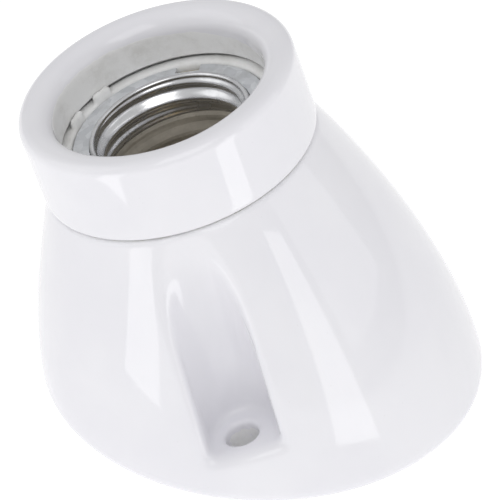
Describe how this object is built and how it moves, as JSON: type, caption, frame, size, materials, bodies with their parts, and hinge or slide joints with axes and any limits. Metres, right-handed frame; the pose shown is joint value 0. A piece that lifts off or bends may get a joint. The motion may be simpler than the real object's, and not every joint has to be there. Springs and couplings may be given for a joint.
{
  "type": "lampholder",
  "caption": "Slanted porcelain lampholder for a heat lamp: flared round body, screw-on collar and a screw socket with sprung contact and wire terminals.",
  "frame": {"origin": "on the wall plane, under the middle of the fixture's bounding box", "axes": "+Z points straight away from the wall; the neck leans towards -X; the two wall screws lie towards -Y and +Y"},
  "size_m": [0.0788, 0.076, 0.0667],
  "materials": {
    "glaze": "white porcelain under a clear glossy glaze, unglazed inside the collar and under the foot",
    "bare_ceramic": "matt unglazed steatite",
    "galvanised": "zinc-plated sheet, dull blue-grey",
    "nickel": "bright nickel plating on pressed sheet",
    "contact_brass": "rolled brass, lightly dulled",
    "screw_steel": "zinc-plated steel",
    "washer_rubber": "matt grey silicone rubber"
  },
  "bodies": {
    "base": {"housing": "glaze", "screw_shell": "nickel", "retaining_plate": "galvanised", "ceramic_insert": "bare_ceramic", "leaf_foot": "contact_brass", "centre_screw": "screw_steel", "live_strap": "contact_brass", "neutral_strap": "contact_brass", "shell_rivet_left": "nickel", "shell_rivet_right": "nickel", "neutral_terminal": "contact_brass", "live_terminal": "contact_brass", "neutral_terminal_rivet": "contact_brass", "live_terminal_rivet": "contact_brass", "insert_screw_front": "screw_steel", "insert_screw_rear": "screw_steel", "insert_washer_front": "screw_steel", "insert_washer_rear": "screw_steel"},
    "collar_washer": {"collar_washer": "washer_rubber"},
    "collar": {"collar": "glaze"},
    "contact": {"centre_leaf": "contact_brass", "centre_button": "nickel"},
    "live_clamp": {"live_clamp_plate": "screw_steel"},
    "live_screw": {"live_wire_screw": "screw_steel"},
    "neutral_clamp": {"neutral_clamp_plate": "screw_steel"},
    "neutral_screw": {"neutral_wire_screw": "screw_steel"}
  },
  "joints": [
    {"name": "collar_rise", "type": "slide", "parent": "base", "child": "collar_washer", "axis": [-0.2857, 0, 0.9583], "range_m": [0, 0.0048]},
    {"name": "collar_turn", "type": "hinge", "parent": "collar_washer", "child": "collar", "pos_m": [-0.0131, 0, 0.04792], "axis": [-0.2857, 0, 0.9583], "range_deg": [0, 540]},
    {"name": "contact_flex", "type": "hinge", "parent": "base", "child": "contact", "pos_m": [-0.00704, 0.0057, 0.0276], "axis": [0.9583, 0, 0.2857], "range_deg": [0, 14], "stiffness_Nm_per_rad": 0.15},
    {"name": "live_clamp_slide", "type": "slide", "parent": "base", "child": "live_clamp", "axis": [0.2857, 0, -0.9583], "range_m": [0, 0.0021]},
    {"name": "live_screw_turn", "type": "hinge", "parent": "live_clamp", "child": "live_screw", "pos_m": [0.00194, 0, 0.01953], "axis": [0.2857, 0, -0.9583], "range_deg": [0, 1080]},
    {"name": "neutral_clamp_slide", "type": "slide", "parent": "base", "child": "neutral_clamp", "axis": [0.2857, 0, -0.9583], "range_m": [0, 0.0021]},
    {"name": "neutral_screw_turn", "type": "hinge", "parent": "neutral_clamp", "child": "neutral_screw", "pos_m": [-0.01014, 0, 0.01593], "axis": [0.2857, 0, -0.9583], "range_deg": [0, 1080]}
  ],
  "couplings": [
    {"joint": "collar_turn", "follows": "collar_rise", "rad_per_m": 1963.5},
    {"joint": "live_screw_turn", "follows": "live_clamp_slide", "rad_per_m": 8976},
    {"joint": "neutral_screw_turn", "follows": "neutral_clamp_slide", "rad_per_m": 8976}
  ]
}
